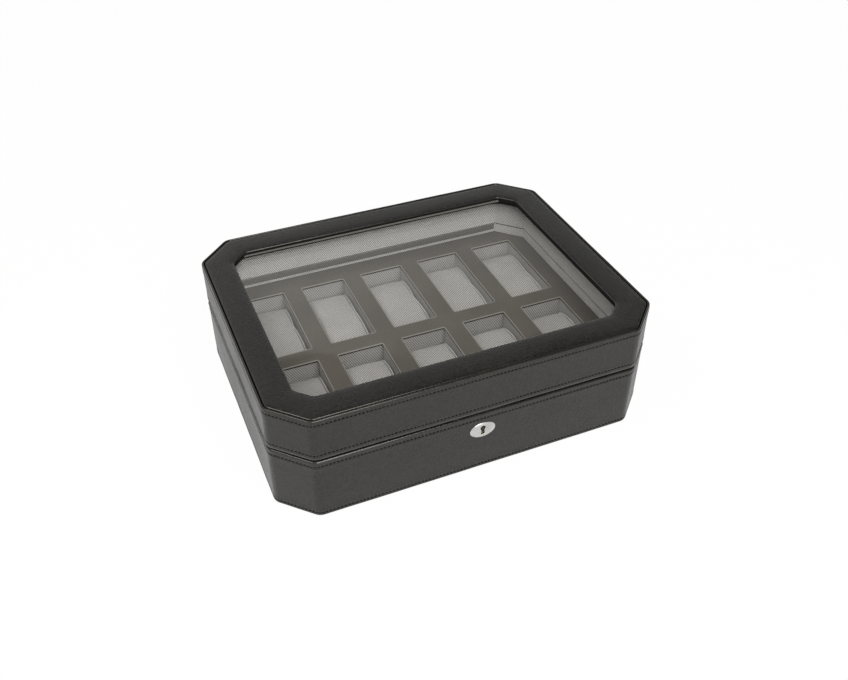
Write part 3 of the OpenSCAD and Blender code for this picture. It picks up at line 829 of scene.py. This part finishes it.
def well_line(row, i, grow, steps=5):
    """The outline of a well's window, made larger all round: rows -1 and 1, columns 0 to 4."""
    x, y = (i - 2) * PITCH_X, row * WELL_Y
    w, l, r = WELL_W + 2 * grow, WELL_L + 2 * grow, 1.0 + grow
    out = []
    for k, (sx, sy) in enumerate(((1, 1), (-1, 1), (-1, -1), (1, -1))):
        for i in range(steps + 1):
            a = math.radians(90 * (k + i / steps))
            out.append((x + sx * (w / 2 - r) + r * math.cos(a), y + sy * (l / 2 - r) + r * math.sin(a)))
    return out


WELLS = [(row, i) for row in (-1, 1) for i in range(5)]


def tray():
    """The tray's frame: one sheet with ten windows, every edge rolled over."""
    roll = TRAY_T / 2 - 0.02
    curve = bpy.data.curves.new("tray", "CURVE")
    curve.dimensions, curve.fill_mode = "2D", "BOTH"
    curve.extrude, curve.bevel_depth, curve.bevel_resolution = 0.02 * MM, roll * MM, 5
    loops = [corners(INSIDE + 0.3 + roll)]
    loops += [well_line(row, i, roll) for row, i in WELLS]
    for points in loops:
        spline = curve.splines.new("POLY")
        spline.points.add(len(points) - 1)
        for p, (x, y) in zip(spline.points, points):
            p.co = (x * MM, y * MM, 0, 1)
        spline.use_cyclic_u = True
    holder = new_object("tray_curve", curve)
    graph = bpy.context.evaluated_depsgraph_get()
    mesh = bpy.data.meshes.new_from_object(holder.evaluated_get(graph))
    bpy.data.objects.remove(holder)
    mesh.transform(Matrix.Translation((0, 0, (TRAY_TOP - TRAY_T / 2) * MM)))
    mesh.name = "tray"
    mesh.materials.clear()
    mesh.materials.append(TRAY)
    obj = new_object("tray", mesh)
    outwards(obj, weld=True)
    shade(obj, 35)
    return obj


def tray_hems():
    """The rolled hem round each window of the tray, standing a little proud of it. Its paler taupe is a
    painted highlight.
    """
    sides, r, proud, steps = 12, 0.6, 0.2, 6
    verts, faces = [], []
    for row, i in WELLS:
        path = well_line(row, i, r, steps)
        faces += grid_faces(len(path), sides, True, len(verts))
        for j, (px, py) in enumerate(path):
            a = math.radians(90 * (j // (steps + 1) + (j % (steps + 1)) / steps))
            for k in range(sides):
                t = 2 * math.pi * k / sides
                out = r * math.cos(t)
                verts.append((px + out * math.cos(a), py + out * math.sin(a),
                              TRAY_TOP - r + proud + r * math.sin(t)))
    return add_object("tray_hems", verts, faces, HEM_HIGHLIGHT, 180)


def strip():
    """The strip over the hinges, with a rolled edge along its top and its foot."""
    lo, hi = (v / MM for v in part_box("hinge_cover_strip"))
    back, front, r = hi.y, lo.y, 0.5

    def roll(z):
        angles = (math.radians(90 + 180 * i / 6) for i in range(7))
        return [(front + r + r * math.cos(a) - 0.25, z + r * math.sin(a)) for a in angles]

    profile = [(back, lo.z), (back, hi.z)] + roll(hi.z - r)
    profile += [(front + 0.12, hi.z - 2 * r - 0.35), (front + 0.12, lo.z + 2 * r + 0.35)] + roll(lo.z + r)
    n, stations = len(profile), 60
    verts = []
    for i in range(stations + 1):
        x = lo.x + (hi.x - lo.x) * i / stations
        tuck = 0.2 if i in (0, stations) else 0.0   # the ends turn in a little
        verts += [(x, y + (tuck if y < back - 0.5 else 0), z) for y, z in profile]
    faces = grid_faces(stations + 1, n)
    faces += [tuple(range(n)), tuple(range(stations * n, (stations + 1) * n))]
    return add_object("hinge_strip", verts, faces, TAUPE, 35)


def escutcheon():
    """A domed oval plate with a turned-down edge and a keyhole through it."""
    lo, hi = (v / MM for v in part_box("escutcheon"))
    back, middle_z = hi.y, (lo.z + hi.z) / 2
    half_l, half_h = (hi.x - lo.x) / 2, (hi.z - lo.z) / 2
    count = 96
    hole, rim = [], []
    key = [(x, z - KEY_Z) for x, z in keyhole_line(0.0, 48)]
    for i in range(count):
        a = 2 * math.pi * i / count
        dx, dz = math.cos(a), math.sin(a)
        best = None
        for (x0, z0), (x1, z1) in zip(key, key[1:] + key[:1]):
            den = dx * (z1 - z0) - dz * (x1 - x0)
            if abs(den) < 1e-9:
                continue
            t = (x0 * (z1 - z0) - z0 * (x1 - x0)) / den
            u = (x0 * dz - z0 * dx) / den
            if t > 0 and -1e-9 <= u <= 1 + 1e-9:
                best = t if best is None else min(best, t)
        hole.append((dx * best, KEY_Z + dz * best))
        oz = KEY_Z - middle_z
        qa = (dx / half_l) ** 2 + (dz / half_h) ** 2
        qb = 2 * oz * dz / half_h**2
        qc = (oz / half_h) ** 2 - 1
        t = (-qb + math.sqrt(qb * qb - 4 * qa * qc)) / (2 * qa)
        rim.append((dx * t, KEY_Z + dz * t))
    hole, rim = np.array(hole), np.array(rim)
    rows = []

    def row(t, y):
        p = hole + t * (rim - hole)
        rows.append(np.column_stack([p[:, 0], np.full(count, y), p[:, 1]]))

    # From the keyhole (0) to the rim (1), and how far behind the front.
    profile = [(0.0, 0.35), (0.015, 0.12), (0.04, 0.03)]
    profile += [(t, 0.62 * t**4) for t in (0.06 + 0.8 * i / 11 for i in range(1, 12))]
    profile += [(0.885, 0.42), (0.9, 0.5), (0.93, 0.45), (0.965, 0.46), (0.988, 0.55), (1.0, 0.72)]
    row(0.0, back)
    for t, depth in profile:
        row(t, lo.y + depth)
    row(1.0, back)
    return closed_grid("escutcheon_plate", np.array(rows), NICKEL, 50)


# ---------- Cuffs ----------

AROUND = 72
OVAL_POWER = 3.2


def oval_ring():
    """A cuff's squarish oval as (y, z), with points evenly spaced, its outward normals and its girth."""
    fine, samples, p = [], 2880, 2 / OVAL_POWER
    for i in range(samples):
        a = 2 * math.pi * i / samples
        c, s = math.cos(a), math.sin(a)
        fine.append((CUFF_L / 2 * math.copysign(abs(c) ** p, c), CUFF_H / 2 * math.copysign(abs(s) ** p, s)))
    fine = np.array(fine)
    gaps = np.linalg.norm(np.roll(fine, -1, axis=0) - fine, axis=1)
    run = np.concatenate([[0], np.cumsum(gaps)])
    at = np.linspace(0, run[-1], AROUND + 1)[:-1]
    closed = np.vstack([fine, fine[:1]])
    ring = np.column_stack([np.interp(at, run, closed[:, i]) for i in range(2)])
    t = np.roll(ring, -1, axis=0) - np.roll(ring, 1, axis=0)
    n = np.column_stack([t[:, 1], -t[:, 0]])
    return ring, n / np.linalg.norm(n, axis=1)[:, None], run[-1]


def cuff_rows():
    """Rings from the left side's middle over the band to the right side's: (x, inset, scale).
    Those on the two sides have a scale below 1."""
    half, edge = CUFF_W / 2 - 0.5, 2.4
    left = []
    for k in (0.12, 0.3, 0.48, 0.64, 0.78, 0.88, 0.94):
        left.append((-half - 0.25 * (1 - k * k), edge, k))
    for i in range(5):
        a = math.radians(90 * i / 4)
        left.append((-half + edge * (1 - math.cos(a)), edge * (1 - math.sin(a)), 1.0))
    band = []
    for i in range(1, 14):
        t = i / 14
        x = -(half - edge) + 2 * (half - edge) * t
        band.append((x, -0.5 * (1 - (2 * t - 1) ** 2), 1.0))
    right = [(-x, inset, k) for x, inset, k in reversed(left)]
    return left + band + right


OVAL, OVAL_NORMAL, GIRTH = oval_ring()
CUFF_ROWS = cuff_rows()
# The rows along the two seams: one is two rows in from the first of full size, the other is its mirror.
CUFF_SEAMS = [next(i for i, row in enumerate(CUFF_ROWS) if row[2] == 1.0) + 2]
CUFF_SEAMS.append(len(CUFF_ROWS) - 1 - CUFF_SEAMS[0])


def cuff_mesh(seed):
    """The foam block in its cloth, before it is swollen."""
    ring, normal = OVAL, OVAL_NORMAL
    rng = np.random.default_rng(seed)
    phases = rng.uniform(0, 6.28, 4)
    verts = []
    for x, inset, k in CUFF_ROWS:
        p = (ring - inset * normal) * k
        wave = 0.25 * np.sin(ring[:, 0] / 11 + phases[0] + x / 13)
        wave = wave + 0.18 * np.sin(x / 4.5 + phases[1] + ring[:, 0] / 23)
        wave = wave * (1 if k == 1 else 0)
        p = p + normal * wave[:, None] * 0.5
        verts.append(np.column_stack([np.full(AROUND, x), p]))
    grid = np.array(verts)
    verts = grid.reshape(-1, 3).tolist()
    faces = grid_faces(len(grid), AROUND, False)
    first, last = len(verts), len(verts) + 1
    verts += [(grid[0, 0, 0] - 0.05, 0, 0), (grid[-1, 0, 0] + 0.05, 0, 0)]
    n = AROUND
    faces += [(first, (c + 1) % n, c) for c in range(n)]
    start = (len(grid) - 1) * n
    faces += [(last, start + c, start + (c + 1) % n) for c in range(n)]
    return np.array(verts), faces


SWELL_FRAMES, SWELL_MOST = 20, 2.2


def swollen(verts, faces):
    """Lets pressure round the cuff: a short cloth simulation, with what it moves capped."""
    obj = mesh_object("swell", verts, faces)
    cloth = obj.modifiers.new("cloth", "CLOTH")
    s = cloth.settings
    s.quality, s.mass = 6, 0.25
    s.tension_stiffness = s.compression_stiffness = 25
    s.shear_stiffness, s.bending_stiffness = 8, 0.6
    s.use_pressure, s.uniform_pressure_force = True, 4.0
    s.effector_weights.gravity = 0
    scene = bpy.context.scene
    for f in range(1, SWELL_FRAMES + 1):
        scene.frame_set(f)
    graph = bpy.context.evaluated_depsgraph_get()
    out = np.array([tuple(v.co) for v in obj.evaluated_get(graph).data.vertices]) / MM
    bpy.data.objects.remove(obj)
    scene.frame_set(1)
    move = out - verts
    size = np.linalg.norm(move, axis=1)[:, None]
    return verts + move * np.minimum(1, SWELL_MOST / np.maximum(size, 1e-6))


def inside_cuff_box(verts):
    """Keeps a cuff in the room its CAD solid holds, pressing it gently rather than cutting it."""
    out = verts.copy()
    for axis, half in ((0, CUFF_W / 2), (1, CUFF_L / 2), (2, CUFF_H / 2)):
        soft = half * 0.93
        v = np.abs(out[:, axis])
        most = v.max()
        if most > half:
            over = np.clip((v - soft) / (most - soft), 0, 1)
            v = np.where(v > soft, soft + (half - soft) * over, v)
            out[:, axis] = np.sign(out[:, axis]) * v
    return out


def cuff(number, shapes):
    body = f"cuff_{number:02d}"
    column, rear = (number - 1) % 5, number <= 5
    rng = random.Random(100 + number)
    verts, faces = shapes[number % len(shapes)]
    verts = verts.copy()
    mirror = -1 if number % 2 else 1
    verts[:, 0] *= mirror
    centre = np.array([(column - 2) * PITCH_X, WELL_Y if rear else -WELL_Y, CUFF_Z + CUFF_H / 2])
    shift = np.array([rng.uniform(-0.35, 0.35), rng.uniform(-0.7, 0.7), 0.0])
    verts = verts + centre + shift
    obj = add_object(f"{body}_cover", verts, faces, CUFF, 180)
    uv_layer(obj, rng.uniform(-0.14, 0.14))
    # The rows beside the seams are marked for painted shade in the creases there.
    seam_shade = obj.data.attributes.new("seam_shade", "FLOAT", "POINT")
    near = (CUFF_SEAMS[0] + 1, CUFF_SEAMS[1] - 1)
    seam_shade.data.foreach_set("value", [float(i // AROUND in near) for i in range(len(verts))])
    m = obj.modifiers.new("smooth", "SUBSURF")
    m.levels = m.render_levels = 1
    applied(obj)
    obj.data.name = obj.name
    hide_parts(body)
    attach(obj, body)
    piping = welt(f"{body}_welt", verts, mirror)
    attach(piping, body)


def uv_layer(obj, angle):
    """Cloth coordinates in metres: across and round the band, and the plan on the two sides."""
    turn = np.array([[math.cos(angle), -math.sin(angle)], [math.sin(angle), math.cos(angle)]])
    layer = obj.data.uv_layers.new(name="cloth")
    co = np.array([tuple(v.co) for v in obj.data.vertices]) / MM
    uv = np.zeros((len(obj.data.loops), 2))
    for poly in obj.data.polygons:
        vs = list(poly.vertices)
        rings = [min(v // AROUND, len(CUFF_ROWS) - 1) for v in vs]
        side = any(CUFF_ROWS[i][2] < 1 for i in rings) or len(vs) == 3
        cols = [v % AROUND for v in vs]
        wrap = max(cols) - min(cols) > AROUND / 2
        for loop, v, c in zip(poly.loop_indices, vs, cols):
            if side:
                uv[loop] = (co[v][1], co[v][2])
            else:
                uv[loop] = (co[v][0], (c + AROUND if wrap and c < AROUND / 2 else c) * GIRTH / AROUND)
    uv = uv @ turn.T * MM
    layer.data.foreach_set("uv", uv.ravel())


def welt(name, verts, mirror):
    """The two seams where the band meets the sides: a slim cord of folded cloth along each, paler than the
    cuff as a painted highlight.
    """
    sides, radius, offset = 8, 0.5, 0.3
    all_verts, all_faces = [], []
    for index, way in zip(CUFF_SEAMS, (-mirror, mirror)):
        path = verts[index * AROUND:(index + 1) * AROUND]
        middle = path.mean(0)
        all_faces += grid_faces(AROUND, sides, True, len(all_verts))
        for i in range(AROUND):
            t = path[(i + 1) % AROUND] - path[i - 1]
            t = t / np.linalg.norm(t)
            n = np.cross(t, np.array([1.0, 0, 0]))
            n = n / np.linalg.norm(n)
            if np.dot(n, path[i] - middle) < 0:
                n = -n
            centre = path[i] + n * offset + np.array([1.0 * way, 0, 0]) * offset
            for k in range(sides):
                a = 2 * math.pi * k / sides
                all_verts.append(centre + radius * (math.cos(a) * n + math.sin(a) * np.cross(n, t)))
    return add_object(name, all_verts, all_faces, WELT_HIGHLIGHT, 180)


# ---------- Build ----------

# Each piece, the CAD node it replaces, its material slot and its body.
PIECES = [
    (base_skin(), "base_leather", "black_leatherette", "base"),
    (lid_skin(), "lid_leather", "black_leatherette", "lid"),
    (panel(), "lid_top_cover", "black_leatherette", "lid"),
    (stitches("base_foot_stitches", BASE_SEAMS[0]), None, "black_leatherette", "base"),
    (stitches("base_rim_stitches", BASE_SEAMS[1]), None, "black_leatherette", "base"),
    (stitches("lid_rim_stitches", LID_SEAMS[0]), None, "black_leatherette", "lid"),
    (stitches("lid_top_stitches", LID_SEAMS[1]), None, "black_leatherette", "lid"),
    (tray(), "tray_frame", "taupe_leatherette", "base"),
    (tray_hems(), None, "taupe_leatherette", "base"),
    (strip(), "hinge_cover_strip", "taupe_leatherette", "base"),
    (escutcheon(), "escutcheon", "bright_nickel", "base"),
]
for piece, replaced, slot, body_name in PIECES:
    if replaced:
        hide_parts(replaced)
    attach(piece, body_name)

cuff_shapes = []
for shape_seed in (3, 7, 11):
    shape_verts, shape_faces = cuff_mesh(shape_seed)
    shape_verts = swollen(shape_verts, shape_faces)
    cuff_shapes.append((inside_cuff_box(shape_verts), shape_faces))
for cuff_number in range(1, 11):
    cuff(cuff_number, cuff_shapes)

# ---------- Floor, light and camera ----------


def floor():
    n = Nodes("floor")
    path = n.add("LightPath").outputs
    seen = n.math("MAXIMUM", path["Is Camera Ray"], path["Is Glossy Ray"])
    seen = n.math("MAXIMUM", seen, path["Is Transmission Ray"])
    plain = n.add("BsdfDiffuse", {"Color": (0.8, 0.8, 0.79, 1)})
    white = n.add("Emission", {"Color": (1, 1, 1, 1), "Strength": 1.0})
    material = n.finish(n.blend(n.math("MULTIPLY", seen, 0.97), plain, white))
    corner_points = [(x * 6000, y * 6000, 0) for x, y in ((-1, -1), (1, -1), (1, 1), (-1, 1))]
    add_object("floor", corner_points, [(0, 1, 2, 3)], material)


def reflected_room(n):
    """What shiny surfaces mirror: a pale room, darker overhead and to the right, with a softbox's edge."""
    parts = n.axes(n.add("TexCoord").outputs["Generated"])
    x, z = parts[0], parts[2]
    glow = n.math("SUBTRACT", 0.54, n.math("MULTIPLY", n.math("SUBTRACT", x, 0.25), 1.9))
    glow = n.math("SUBTRACT", glow, n.math("MULTIPLY", n.math("SUBTRACT", z, 0.58), 4.6))
    lean = n.math("MULTIPLY", n.math("ABSOLUTE", n.math("SUBTRACT", x, 0.178)), 0.1)
    edge = n.math("SUBTRACT", n.math("SUBTRACT", z, lean), 0.6297)
    edge = n.clamp(n.math("MULTIPLY", edge, 260.0), 0.0, 1.0)
    left = n.clamp(n.math("MULTIPLY", n.math("SUBTRACT", 0.37, x), 9.0), 0.0, 1.0)
    glow = n.math("SUBTRACT", glow, n.math("MULTIPLY", n.math("MULTIPLY", edge, left), 0.45))
    return n.clamp(glow, 0.02, 1.0)


def world():
    """White where the camera looks, the room above in shiny surfaces, and an even soft light for the rest."""
    n = Nodes("studio", "worlds", "OutputWorld")
    n.owner.cycles.sampling_method = "NONE"
    path = n.add("LightPath").outputs
    soft = n.add("Background", {"Color": (1.0, 0.995, 0.985, 1), "Strength": 0.46})
    white = n.add("Background", {"Color": (1, 1, 1, 1), "Strength": 1.0})
    gloss = n.add("Background", {"Strength": reflected_room(n)})
    seen = n.math("MAXIMUM", path["Is Camera Ray"], path["Is Transmission Ray"])
    unseen = n.blend(path["Is Glossy Ray"], soft, gloss)
    bpy.context.scene.world = n.finish(n.blend(seen, unseen, white))


def lamp(name, place, target, size, power):
    data = bpy.data.lights.new(name, "AREA")
    data.shape, data.size, data.size_y = "RECTANGLE", size, size
    data.energy = power
    data.color = (1.0, 0.985, 0.965)
    obj = new_object(name, data)
    obj.location = place
    obj.rotation_mode = "QUATERNION"
    obj.rotation_quaternion = (Vector(target) - Vector(place)).to_track_quat("-Z", "Y")


CAMERA_PLACE = (-0.24315, -0.5868, 0.5468)
CAMERA_AZIMUTH, CAMERA_HEIGHT, CAMERA_LENS = -22.88, 38.73, 38.62   # degrees, degrees, millimetres


def camera():
    data = bpy.data.cameras.new("camera")
    data.lens, data.sensor_width, data.sensor_fit = CAMERA_LENS, 36.0, "HORIZONTAL"
    data.clip_start, data.clip_end = 0.01, 50
    obj = new_object("camera", data)
    obj.location = CAMERA_PLACE
    az, el = math.radians(CAMERA_AZIMUTH), math.radians(CAMERA_HEIGHT)
    back = Vector((math.sin(az) * math.cos(el), -math.cos(az) * math.cos(el), math.sin(el)))
    obj.rotation_mode = "QUATERNION"
    obj.rotation_quaternion = (-back).to_track_quat("-Z", "Y")
    bpy.context.scene.camera = obj


floor()
world()
lamp("key", (-0.02, -0.95, 1.25), (0, 0, 0.05), 0.7, 13.5)
lamp("front", (-0.1, -1.5, 0.75), (0, 0, 0.06), 0.7, 9)
lamp("side", (-0.75, -0.1, 1.25), (0.05, 0, 0.05), 0.6, 6.5)
camera()
bpy.context.scene.view_settings.view_transform = "Standard"
